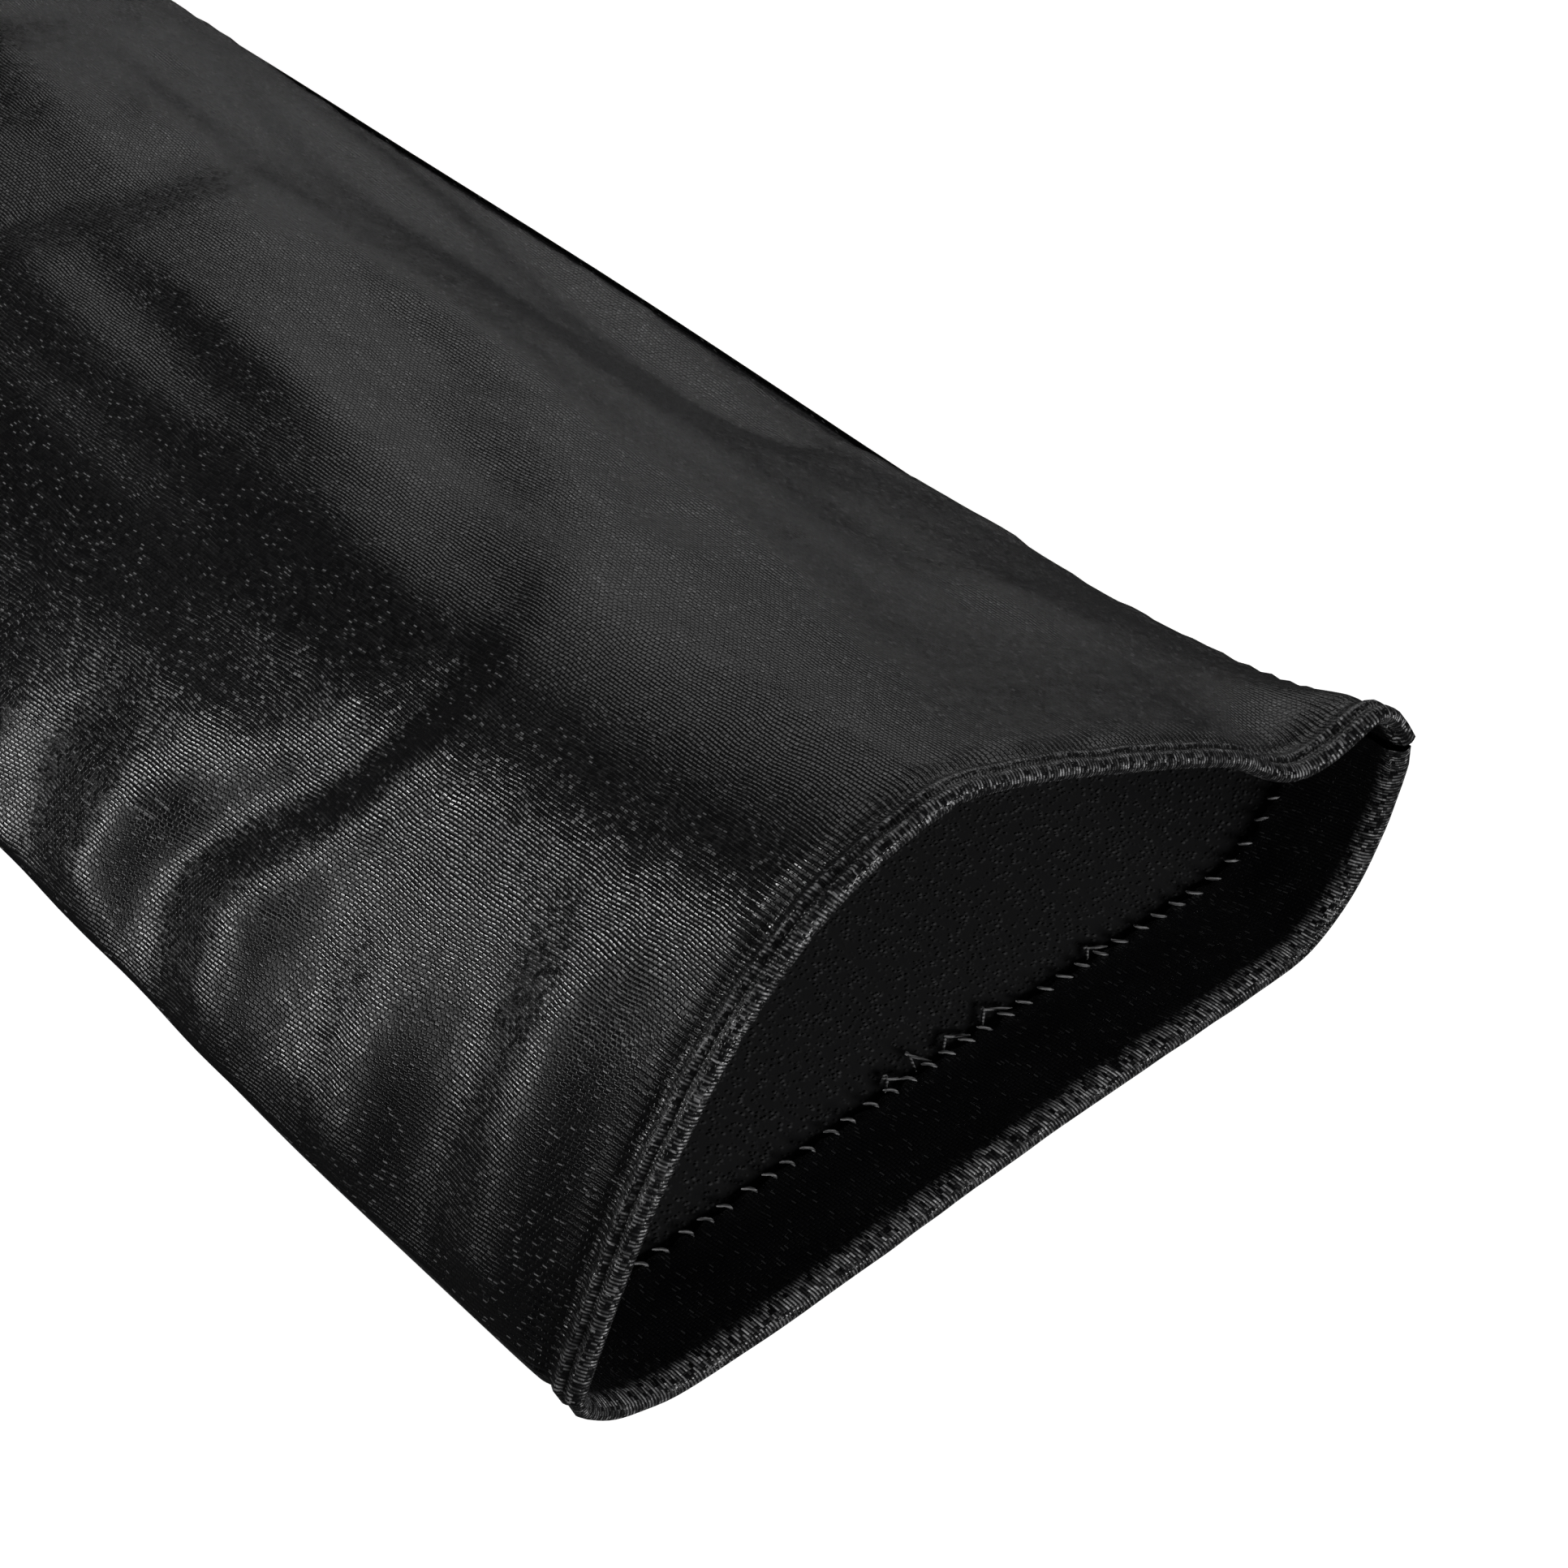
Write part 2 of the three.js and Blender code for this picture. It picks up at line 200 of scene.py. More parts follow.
def lobes(x, layer):
    total = np.zeros(np.shape(x))
    nearest = np.full(np.shape(x), 1e9)
    for finger in fingers.values():
        u = (x - finger["centre"]) / (finger["rootWidth"] / 2)
        z = fingerLayer(finger, np.clip(u, -1, 1), layer, fingerShape["rootHeight"],
                        fingerShape["rootEdge"], fingerShape["stripRoot"])
        nearer = np.abs(u) < nearest
        total = np.where(nearer, z, total)
        nearest = np.where(nearer, np.abs(u), nearest)
    return total


# Finely divided rings, upper layer from the sewn edge to the fold and lower layer back again.
denseU = np.cos(np.linspace(0, np.pi, 361))


def denseLayer(ys, layer):
    u = (denseU if layer > 0 else denseU[::-1])[None, :]
    y = np.asarray(ys, float)[:, None]
    half = track(y, sleeve["width"]) / 2
    height, fold, seam = (track(y, sleeve[k]) for k in ("height", "fold", "seam"))
    lean = np.clip(track(y, sleeve["lean"]), 0, 1)
    edge = lerp(fold, seam, (u + 1) / 2)
    settle = np.clip(1 - y / sleeve["swellLength"], 0, 1) ** 2 * (1 - u * u)
    lobe = smooth(y, knuckleY - hand["lobeReach"], knuckleY) ** hand["lobePower"]
    if layer > 0:
        z = edge + (height - edge) * crown(u, lean)
        shift = sleeve["upperLipSetBack"] * settle
    else:
        z = edge * cup(u)
        shift = -sleeve["lowerLipReach"] * settle
    z = lerp(z, lobes(u * knuckleHalf, layer), lobe)
    return np.stack(np.broadcast_arrays(half * u, y + shift, z), -1)


def arcLength(line):
    return np.concatenate([[0], np.cumsum(np.linalg.norm(np.diff(line, axis=0), axis=1))])


def fingerU():
    even = np.linspace(1, -1, fingerShape["columns"] + 1)
    return (even + np.sin(even * np.pi / 2)) / 2


def columnShares(layer):
    line = denseLayer([knuckleY], layer)[0]
    arc = arcLength(line[:, [0, 2]])
    xs = np.concatenate([fingers[n]["centre"] + fingers[n]["rootWidth"] / 2 * fingerU()
                         for n in reversed(fingerNames)])
    xs = np.clip(xs, -knuckleHalf, knuckleHalf)
    if layer > 0:
        return np.interp(-xs, -line[:, 0], arc) / arc[-1]
    return np.interp(xs[::-1], line[:, 0], arc) / arc[-1]


sharesUp, sharesDown = columnShares(1), columnShares(-1)
upColumns = len(sharesUp)


# Rings of the bare tube. The fold line is one column, and both ends of a ring are the sewn edge.
def bareRings(ys):
    upper, lower = denseLayer(ys, 1), denseLayer(ys, -1)
    rings, across = [], []
    for up, down in zip(upper, lower):
        row, places = [], []
        for line, shares, sign in ((up, sharesUp, 1), (down, sharesDown, -1)):
            arc = arcLength(line)
            at = shares * arc[-1]
            row.append(np.stack([np.interp(at, arc, line[:, k]) for k in range(3)], -1))
            places.append(arc[-1] - at if sign > 0 else -at)
        rings.append(np.concatenate([row[0], row[1][1:]]))
        across.append(np.concatenate([places[0], places[1][1:]]))
    return np.array(rings), np.array(across)


def normals(grid):
    alongRows = np.gradient(grid, axis=0)
    alongColumns = np.gradient(grid, axis=1)
    out = np.cross(alongRows, alongColumns)
    return out / np.maximum(np.linalg.norm(out, axis=-1, keepdims=True), 1e-9)


folds = dict(
    # lines of (x, y) over the upper layer, with depth (up is positive), width and how sharp they are
    crease=dict(line=[(-16, 58), (-25, 60), (-36, 63), (-46, 73), (-54, 82)], depth=-1.5, width=4.2),
    ridge=dict(line=[(2, 66), (-14, 57), (-28, 55), (-42, 61), (-53, 70)], depth=1.1, width=5),
    wedge=dict(line=[(14, 150), (8, 112), (0, 88), (-10, 72)], depth=-1.6, width=9),
    wedgeEdge=dict(line=[(26, 150), (20, 112), (12, 86), (4, 70)], depth=1.0, width=7),
    groove=dict(line=[(53, 170), (47, 120), (45, 98), (50, 84)], depth=-1.1, width=4),
    dip=dict(line=[(34, 215), (37, 170), (41, 130), (44, 102), (48, 82)], depth=-3.0, width=10),
    brow=dict(line=[(30, 56), (40, 40), (50, 26)], depth=0.9, width=8),
    patchLow=dict(line=[(-57, 44), (-53, 50), (-50, 56)], depth=0.9, width=4),
    patchHigh=dict(line=[(-57, 84), (-52, 92), (-48, 100)], depth=0.9, width=5),
    arm=dict(line=[(-30, 190), (-12, 175), (10, 168), (30, 172)], depth=-1.2, width=7),
    armLow=dict(line=[(30, 214), (8, 220), (-14, 232), (-32, 250)], depth=-1.0, width=7),
    wristA=dict(line=[(-30, 352), (-10, 346), (14, 350), (30, 344)], depth=-0.8, width=4),
    wristB=dict(line=[(-28, 366), (-6, 362), (10, 366)], depth=-0.7, width=3.5),
    wristC=dict(line=[(30, 362), (12, 374), (-4, 378)], depth=-0.6, width=3.5),
    palmA=dict(line=[(-30, 436), (-14, 430), (8, 434), (30, 444)], depth=-0.6, width=4),
    palmB=dict(line=[(-34, 428), (-20, 414), (-12, 396), (-14, 380)], depth=-0.7, width=4.5),
)


rolls = dict(first=14.6, pitch=22.7, count=5, height=1.5, drift=0.16, reachFirst=26, reach=7)


# Soft rolls that run in from the folded edge, side by side behind the lip.
def softRolls(x, y, across):
    total = 0
    for k in range(rolls["count"]):
        middle = rolls["first"] + k * rolls["pitch"] + rolls["drift"] * across
        reach = rolls["reachFirst"] if k < 1 else rolls["reach"] + 2.5 * (k % 2)
        fade = 1 - smooth(across, reach, reach + 20)
        phase = np.clip((y - middle) / rolls["pitch"], -0.5, 0.5)
        total = total + rolls["height"] * fade * (np.cos(2 * np.pi * phase) + 1) / 2
    return total * smooth(y, 3, 8)


# Height of the cloth over the bare tube, before the lip's own shape.
def lie(grid, across):
    x, y = grid[..., 0], grid[..., 1]
    top = smooth(across, -2, 6)
    height = 0.5 * waves(across, y, 46, 120, 3) * smooth(y, 6, 60)
    height = height + 0.28 * waves(across, y, 17, 60, 11) * smooth(y, 16, 70)
    height = height * (1 - 0.6 * smooth(y, knuckleY - 60, knuckleY - 5))
    height = height * smooth(grid[..., 2], 0.2, 3)  # the side on the table stays flat
    height = height + top * softRolls(x, y, across)
    for fold in folds.values():
        distance, place = alongLine(x, y, fold["line"])
        fade = np.clip(np.sin(np.pi * np.clip(place, 0.02, 0.98)), 0, 1) ** 0.6
        height = height + top * fold["depth"] * fade * bell(distance, 0, fold["width"])
    # nothing moves where the cloth joins the fingers
    return height * (1 - smooth(y, knuckleY - 9, knuckleY - 1))


# The sewn edge: a groove at the stitches, with small puckers beside it.
def seamLie(across, span, y):
    away = span - np.abs(across)
    pucker = 0.16 * np.sin(2 * np.pi * y / 3.1 + 2 * waves(y, 0 * y, 9, 9, 21))
    return -0.35 * bell(away, 0, 0.9) + (0.25 + pucker) * bell(away, 2.2, 1.3)


corner = dict(lift=4.2, place=6.0, width=5.4, reach=14, sag=-2.2, sagPlace=19, sagWidth=7, sagReach=12)
mouth = dict(pull=1.9, middle=6, width=36, reach=45)  # the lower lip lies a little further back


# The bulk of the seam pushes the cloth up beside the mouth's sewn corner, and it sags next to that.
def cornerLie(away, y, top):
    lift = corner["lift"] * bell(away, corner["place"], corner["width"])
    sag = corner["sag"] * bell(away, corner["sagPlace"], corner["sagWidth"])
    return top * (lift * bell(y, 0, corner["reach"]) + sag * bell(y, 0, corner["sagReach"]))


# Height of the lip's rolled edge over the cloth, by distance from its edge.
def lipLie(t, across):
    ridges = 0.32 * bell(t, 2.75, 0.6) + 0.26 * bell(t, 0.95, 0.6) - 0.3 * bell(t, 1.85, 0.4)
    channel = -0.34 * bell(t, 4.5, 1.0)
    uneven = 0.12 * waves(across, t, 9, 30, 31) * bell(t, 3, 4)
    return ridges + channel + uneven - 0.2 * smooth(0.5 - t, 0, 0.5)


def addMesh(name, vertices, faces, material, attributes=None):
    mesh = bpy.data.meshes.new(name)
    mesh.from_pydata(np.asarray(vertices).reshape(-1, 3).tolist(), [], faces)
    for key, values in (attributes or {}).items():
        values = np.asarray(values, np.float32)
        kind = "FLOAT_VECTOR" if values.ndim == 2 else "FLOAT"
        layer = mesh.attributes.new(key, kind, "POINT")
        layer.data.foreach_set("vector" if kind == "FLOAT_VECTOR" else "value", values.ravel())
    mesh.polygons.foreach_set("use_smooth", [True] * len(mesh.polygons))
    mesh.materials.append(material)
    mesh.update()
    piece = bpy.data.objects.new(name, mesh)
    bpy.context.scene.collection.objects.link(piece)
    return piece


def gridFaces(rows, columns, flip, start=0, loop=False):
    faces = []
    for i in range(rows - 1):
        for j in range(columns if loop else columns - 1):
            k = (j + 1) % columns
            corners = (i * columns + j, i * columns + k, (i + 1) * columns + k, (i + 1) * columns + j)
            corners = tuple(start + c for c in corners)
            faces.append(corners if flip else corners[::-1])
    return faces


# Round threads along given routes, joined in one mesh.
def threads(routes, radius, sides=6):
    vertices, faces = [], []
    for route in routes:
        route = np.asarray(route, float)
        direction = np.gradient(route, axis=0)
        direction /= np.linalg.norm(direction, axis=1, keepdims=True)
        helper = np.array([0.3, 0.2, 1.0]) / np.linalg.norm([0.3, 0.2, 1.0])
        first = np.cross(direction, helper)
        first /= np.linalg.norm(first, axis=1, keepdims=True)
        second = np.cross(direction, first)
        start = len(vertices)
        taper = np.ones(len(route)) * radius
        taper[[0, -1]] *= 0.45
        for at, a, b, r in zip(route, first, second, taper):
            for k in range(sides):
                turn = 2 * np.pi * k / sides
                vertices.append(at + r * (a * math.cos(turn) + b * math.sin(turn)))
        faces += gridFaces(len(route), sides, True, start, loop=True)
        last = start + (len(route) - 1) * sides
        faces.append(tuple(start + k for k in range(sides)))
        faces.append(tuple(last + k for k in reversed(range(sides))))
    return np.array(vertices), faces


class Value:
    # a shader socket that can be used in expressions
    def __init__(self, finish, socket):
        self.finish, self.socket = finish, socket

    def math(self, operation, other=0, third=0):
        return self.finish.add("ShaderNodeMath", {"operation": operation},
                               {0: self, 1: other, 2: third})

    def __add__(self, other):
        return self.math("ADD", other)

    def __radd__(self, other):
        return self.math("ADD", other)

    def __sub__(self, other):
        return self.math("SUBTRACT", other)

    def __mul__(self, other):
        return self.math("MULTIPLY", other)

    def __rmul__(self, other):
        return self.math("MULTIPLY", other)

    def __truediv__(self, other):
        return self.math("DIVIDE", other)

    def __pow__(self, other):
        return self.math("POWER", other)

    def __neg__(self):
        return self.math("MULTIPLY", -1)

    def __rsub__(self, other):
        return (-self).math("ADD", other)


class Finish:
    def __init__(self, name):
        self.material = bpy.data.materials.new(name)
        self.material.use_nodes = True
        self.nodes, self.links = self.material.node_tree.nodes, self.material.node_tree.links
        self.shader = self.nodes["Principled BSDF"]

    # Adds a node: its settings first, then the values or links of its sockets.
    def add(self, kind, settings=None, inputs=None, output=0):
        node = self.nodes.new(kind)
        for key, value in (settings or {}).items():
            setattr(node, key, value)
        for key, value in (inputs or {}).items():
            self.join(node.inputs[key], value)
        return Value(self, node.outputs[output])

    def join(self, socket, value):
        if isinstance(value, Value):
            self.links.new(value.socket, socket)
        else:
            socket.default_value = value

    def set(self, **inputs):
        for key, value in inputs.items():
            self.join(self.shader.inputs[key.replace("_", " ")], value)

    def attribute(self, name, output="Fac"):
        return self.add("ShaderNodeAttribute", {"attribute_name": name}, output=output)

    def mix(self, mask, a, b):
        return self.add("ShaderNodeMix", {"data_type": "RGBA"}, {0: mask, 6: a, 7: b}, 2)

    def ease(self, value, low, high):
        return self.add("ShaderNodeMapRange", {"interpolation_type": "SMOOTHSTEP"},
                        {0: value, 1: low, 2: high, 3: 0, 4: 1})

    def random(self, x, y, z=0.0, output=0):
        place = self.add("ShaderNodeCombineXYZ", None, {0: x, 1: y, 2: z})
        return self.add("ShaderNodeTexWhiteNoise", {"noise_dimensions": "3D"},
                        {0: place}, output)

    def bump(self, height, distance, strength=1, normal=None):
        inputs = {"Height": height, "Distance": distance, "Strength": strength}
        if normal is not None:
            inputs["Normal"] = normal
        return self.add("ShaderNodeBump", None, inputs)


satinLook = dict(
    rowPitch=0.44, floatLength=0.7, turn=6,  # millimetres and degrees
    # dark to light: the satin's near-black tone, with the float crests painted lighter as a painted sheen
    dark=(0.003, 0.003, 0.0034, 1), light=(0.009, 0.009, 0.010, 1), glint=(0.55, 0.55, 0.56, 1),
    # ribGlint: colour of the painted highlights along the lip's rolled edge
    ribGlint=(0.85, 0.85, 0.86, 1),
    rough=0.2, roughSpread=0.16, glintShare=0.17,
    sheen=0.02, bump=0.000065,
)


def satinFinish(name, ribGlintShare=1.0, sparkle=0.6):
    look, m = satinLook, Finish(name)
    cloth = m.attribute("cloth", "Vector")
    split = m.add("ShaderNodeSeparateXYZ", None, {0: cloth})
    across, along = split, Value(m, split.socket.node.outputs[1])
    c, s = math.cos(math.radians(look["turn"])), math.sin(math.radians(look["turn"]))
    wobble = m.add("ShaderNodeTexNoise", {"noise_dimensions": "3D"},
                   {"Vector": cloth, "Scale": 0.11, "Detail": 2.0})
    rowPlace = (across * c + along * s + wobble * 1.6) / look["rowPitch"]
    row = rowPlace.math("FLOOR")
    acrossRow = rowPlace - row
    stagger = m.random(row, 3.7)
    floatPlace = (along * c - across * s) / look["floatLength"] + row * 0.4 + stagger * 0.35
    cell = floatPlace.math("FLOOR")
    alongFloat = floatPlace - cell
    luck = m.random(row, cell)
    luckTwo = m.random(row, cell, 9.1)
    # each float is a small pillow, and some lie twisted
    ridge = (acrossRow * math.pi).math("SINE")
    pillow = ridge * m.ease(alongFloat * (1 - alongFloat), 0, 0.13)
    twist = (luck - 0.5) * (acrossRow - 0.5) * 0.8 + (luckTwo - 0.5) * (alongFloat - 0.5) * 0.7
    height = pillow * 0.62 + twist
    # painted glints: a few random floats are painted bright grey at their crests, as sparkles of reflected
    # light
    glint = m.ease(luck, 1 - look["glintShare"], 1) * m.ease(pillow, 0.78, 0.98)
    shade = m.add("ShaderNodeTexNoise", {"noise_dimensions": "3D"},
                  {"Vector": cloth, "Scale": 0.05, "Detail": 3.0})
    ribAndGlint = m.attribute("ribAndGlint")  # rolled edge of the lip, where the cloth's ribbing opens; painted highlights sit along it
    ribWave = ((across * (2 * math.pi / 0.42) + (along * 2.6) + wobble * 9).math("SINE") + 1) * 0.5
    ribLuck = m.random((across / 0.42).math("FLOOR"), (along / 0.5).math("FLOOR"), 2.2)
    ribsAndGlints = ribAndGlint * (ribWave ** 1.6) * m.ease(ribLuck, 0.1, 0.9)
    # the floats' crests are painted lighter than the lines between rows, more so in large random patches: a
    # painted sheen on the floats over the weave's pattern
    body = m.mix(m.ease(pillow * shade * 1.6, 0.2, 1), look["dark"], look["light"])
    body = m.mix(glint * sparkle, body, look["glint"])
    # the lip's ribbing is painted bright in dashes: painted highlights, as twinkles of light on the rolled
    # edge
    body = m.mix((ribsAndGlints * (luck * 0.8 + 0.2)).math("MINIMUM", 1) * (0.95 * ribGlintShare), body,
                 look["ribGlint"])
    pleat = m.attribute("pucker")  # tiny puckers just behind the lip, with painted shade in their grooves
    pleatWave = ((across * (2 * math.pi / 0.86) + wobble * 5 + along * 0.6).math("SINE") + 1) * 0.5
    pleatsAndShade = pleat * (pleatWave ** 2)
    # the puckers' grooves are painted near black: painted shade
    body = m.mix(pleatsAndShade * 0.8, body, (0.0005, 0.0005, 0.0006, 1))
    rough = look["rough"] + (luckTwo - 0.5) * look["roughSpread"] + (1 - pillow) * 0.12
    m.set(Base_Color=body, Roughness=rough, Specular_IOR_Level=0.5, Sheen_Weight=look["sheen"],
          Sheen_Roughness=0.35, Sheen_Tint=(0.8, 0.8, 0.85, 1))
    m.set(Normal=m.bump(height + ribsAndGlints * 0.9 - pleatsAndShade * 2.2, look["bump"]))
    return m.material


wrongLook = dict(dark=(0.010, 0.010, 0.011, 1), light=(0.085, 0.085, 0.088, 1), rough=0.82)


def wrongSideFinish():
    look, m = wrongLook, Finish("Wrong side of the cloth")
    cloth = m.attribute("cloth", "Vector")
    grain = m.add("ShaderNodeTexVoronoi", {"voronoi_dimensions": "3D"},
                  {"Vector": cloth, "Scale": 1.6, "Randomness": 0.8})
    slub = m.add("ShaderNodeTexNoise", {"noise_dimensions": "3D"},
                 {"Vector": cloth, "Scale": 0.6, "Detail": 4.0})
    dot = 1 - m.ease(grain, 0.1, 0.55)
    m.set(Base_Color=m.mix(dot * m.ease(slub, 0.42, 0.66), look["dark"], look["light"]),
          Roughness=look["rough"] - dot * 0.15, Specular_IOR_Level=0.3, Sheen_Weight=0.1,
          Sheen_Roughness=0.5)
    m.set(Normal=m.bump(dot + slub * 0.6, 0.00014))
    return m.material


threadLook = dict(dark=(0.06, 0.06, 0.062, 1), light=(0.42, 0.42, 0.425, 1), rough=0.5)


def threadFinish():
    look, m = threadLook, Finish("Sewing thread")
    place = m.add("ShaderNodeTexCoord", None, None, "Object")
    twist = m.add("ShaderNodeTexWave", {"wave_type": "BANDS", "bands_direction": "DIAGONAL"},
                  {"Vector": place, "Scale": 900.0, "Distortion": 1.5, "Detail": 1.0}, "Fac")
    fuzz = m.add("ShaderNodeTexNoise", {"noise_dimensions": "3D"},
                 {"Vector": place, "Scale": 2500.0, "Detail": 2.0})
    m.set(Base_Color=m.mix(twist * fuzz * 1.4, look["dark"], look["light"]),
          Roughness=look["rough"] + fuzz * 0.2, Sheen_Weight=0.2, Sheen_Roughness=0.4)
    m.set(Normal=m.bump(twist, 0.00006))
    return m.material


satin = satinFinish("Black stretch satin")
# a copy of the satin for the turned-under hem, with far fewer painted glints because it lies in shade inside
# the hem
turnedSatinFewGlints = satinFinish("Black stretch satin turned under, few painted glints", sparkle=0.08)
wrongSide = wrongSideFinish()
thread = threadFinish()
print("finishes made")


def sleeveRowsY():
    ys, step = [0.0], 0.4
    while ys[-1] < 9.2:
        ys.append(ys[-1] + step)
    while ys[-1] < splitY:
        step = min(step * 1.11, 2.4)
        ys.append(ys[-1] + step)
    ys = np.array(ys)
    return np.concatenate([ys[ys < splitY - 1.2], [splitY]])


# Cloth as it lies, with its normals and cloth coordinates.
def clothRings(ys):
    rings, across = bareRings(ys)
    y = np.repeat(np.asarray(ys)[:, None], rings.shape[1], 1)
    span = np.where(across > 0, across[:, :1], -across[:, -1:])
    rings = rings + normals(rings) * lie(rings, across)[..., None]
    extra = seamLie(across, span, y) + cornerLie(span - np.abs(across), y, across > 0)
    rings = rings + normals(rings) * extra[..., None]
    share = smooth(-across, 0, 16) * smooth(span - np.abs(across), 0, 16) * (1 - smooth(y, 0, mouth["reach"]))
    rings[..., 1] += mouth["pull"] * bell(rings[..., 0], mouth["middle"], mouth["width"]) * share
    rings[..., 2] = np.maximum(rings[..., 2], 0.02)
    return rings, across, y


sleeveY = sleeveRowsY()
sleeveCloth, sleeveAcross, sleeveAlong = clothRings(sleeveY)
sleeveNormal = normals(sleeveCloth)
lip = lipLie(sleeveAlong, sleeveAcross) * (1 - smooth(sleeveAlong, 9, 13))
sleeveOuter = sleeveCloth + sleeveNormal * (lip * smooth(np.abs(sleeveAcross[:, :1] - sleeveAcross), 0, 6)
                                            * smooth(np.abs(sleeveAcross - sleeveAcross[:, -1:]), 0, 6)
                                            )[..., None]
# the sleeve lies on the table
sleeveOuter[..., 2] = np.maximum(sleeveOuter[..., 2], 0.02)

# the lip's edge turns under in a small roll: (back from the edge, in from the outer face)
edgeRoll = [(-0.12, 0.45), (-0.16, 0.8), (-0.06, 1.15), (0.25, 1.5), (0.8, 1.7)]
lipDirection = sleeveCloth[1] - sleeveCloth[0]
lipDirection /= np.linalg.norm(lipDirection, axis=-1, keepdims=True)
rollRings = np.array([sleeveCloth[0] + lipDirection * t - sleeveNormal[0] * n for t, n in edgeRoll])
rollRings[..., 2] = np.maximum(rollRings[..., 2], 0.02)

# skin from just under the lip's edge to the split
skinGrid = np.concatenate([rollRings[1::-1], sleeveOuter])
skinAcross = np.concatenate([sleeveAcross[:1]] * 2 + [sleeveAcross])
skinAlong = np.concatenate([sleeveAlong[:1] - 0.9, sleeveAlong[:1] - 0.45, sleeveAlong])
# the lip's two ridges and its edge: here the ribbing is raised and painted bright, a painted highlight
skinRibAndGlint = (bell(skinAlong, 2.75, 0.5) + bell(skinAlong, 0.95, 0.5)
           + smooth(0.3 - skinAlong, 0, 0.6))
# window of the puckers behind the lip, which carries their bump and the painted shade in their grooves
skinPuckerAndShade = bell(skinAlong, 6.0, 1.9) * (0.45 + 0.55 * smooth(waves(skinAcross, skinAlong, 24, 40, 33),
                                                                -0.8, 0.8))


def depthRow(depth, inward):
    i = np.searchsorted(sleeveY, depth) - 1
    t = (depth - sleeveY[i]) / (sleeveY[i + 1] - sleeveY[i])
    return (lerp(sleeveCloth[i], sleeveCloth[i + 1], t)
            - lerp(sleeveNormal[i], sleeveNormal[i + 1], t) * inward)


# hem facing: from the roll to its raw edge, which turns back to the cloth
def facingGrid():
    depths = [1.6, 2.6, 4, 5.6, 7.4, 9.2, 11, 12.4, hem["depth"] - 0.3]
    rows = [depthRow(d, hem["facingDepth"] + 0.12 * math.sin(d)) for d in depths]
    ragged = 0.35 * waves(sleeveAcross[0], 0 * sleeveAcross[0], 5, 5, 41)
    edge = [np.array([depthRow(hem["depth"] + r, n)[j] for j, r in enumerate(ragged)])
            for n in (hem["facingDepth"] - 0.1, hem["facingDepth"] - hem["facingCloth"])]
    under = depthRow(hem["depth"] - 1.6, hem["facingDepth"] - hem["facingCloth"])
    return np.concatenate([rollRings[1:], np.array(rows), np.array(edge), under[None]]), depths


facing, facingDepths = facingGrid()
facing[..., 2] = np.maximum(facing[..., 2], 0.3)
facingAlong = np.concatenate([[-0.9, -1.3, -1.8, -2.4], -np.array(facingDepths) - 1.5,
                              [-16.2, -16.8, -18.4]])

# lining: the cloth's wrong side
liningY = np.concatenate([[hem["depth"] - 2.2], np.arange(14, splitY, 2.4), [splitY]])
liningRows = np.array([depthRow(min(y, splitY - 1e-3), sleeve["cloth"]) for y in liningY])
liningColumns = np.unique(np.concatenate([np.arange(0, sleeveCloth.shape[1], 2),
                                          [sleeveCloth.shape[1] - 1]]))
lining = liningRows[:, liningColumns]
print("sleeve cloth", skinGrid.shape[:2])

# hem stitches: short slanting bars over the facing's raw edge
def hemStitches():
    draw = np.random.default_rng(hem["seed"])
    inner = [depthRow(hem["depth"] + d, hem["facingDepth"] + 0.12) for d in (-0.9, 0.9)]
    arc = arcLength(inner[0])
    count = int(arc[-1] / hem["stitchPitch"])
    routes = []
    for k in range(1, count):
        at = (k + draw.uniform(-0.12, 0.12)) * hem["stitchPitch"]
        length = hem["stitchLength"] * draw.uniform(0.75, 1.15) / 2
        ends = []
        for line, offset in ((inner[0], length), (inner[1], -length)):
            ends.append(np.array([np.interp(at + offset * 0.8, arc, line[:, i]) for i in range(3)]))
        t = np.linspace(0.12, 0.88, 7)[:, None]
        lift = np.sin(np.pi * np.linspace(0, 1, 7))[:, None] * 0.32
        middle = np.array([[0, 0, 18.0]])
        toward = middle - ends[0] * np.array([[1, 0, 1]])
        toward = toward / np.linalg.norm(toward)
        routes.append(lerp(ends[0], ends[1], t) + toward * lift)
    return routes


stitchRoutes = hemStitches()


# A few loose loops and ends of the hem's thread, lying on the wrong side just past the stitches.
looseThread = dict(places=(0.735, 0.75, 0.768, 0.79, 0.845),
                   reach=(1.8, 2.6, 1.7, 2.1, 1.5), seed=19)


def looseLoops():
    draw = np.random.default_rng(looseThread["seed"])
    routes = []
    for share, reach in zip(looseThread["places"], looseThread["reach"]):
        near = depthRow(hem["depth"] + 0.4, sleeve["cloth"] + 0.55)
        far = depthRow(hem["depth"] + 0.4 + reach, sleeve["cloth"] + 0.3)
        arc = arcLength(near)
        at = share * arc[-1]
        t = np.linspace(0, 1, 15)
        sweep = np.sin(np.pi * t) ** 0.8
        slide = at + (t - 0.5) * draw.uniform(2, 4.5) + np.sin(2 * np.pi * t) * draw.uniform(0.3, 0.9)
        a = np.stack([np.interp(slide, arc, near[:, i]) for i in range(3)], -1)
        b = np.stack([np.interp(slide, arc, far[:, i]) for i in range(3)], -1)
        point = lerp(a, b, sweep[:, None])
        toward = np.array([0, 0, 18.0]) - point * np.array([1, 0, 1])
        toward /= np.linalg.norm(toward, axis=1, keepdims=True)
        routes.append(point + toward * (0.25 + 0.5 * np.sin(np.pi * t) * draw.uniform(0, 1))[:, None])
    return routes


handY = np.concatenate([np.arange(splitY, knuckleY - 12, 2.4), np.linspace(knuckleY - 11, knuckleY, 16)])
handY[0] = splitY
handCloth, handAcross, handAlong = clothRings(handY)
handCloth[0] = sleeveOuter[-1]


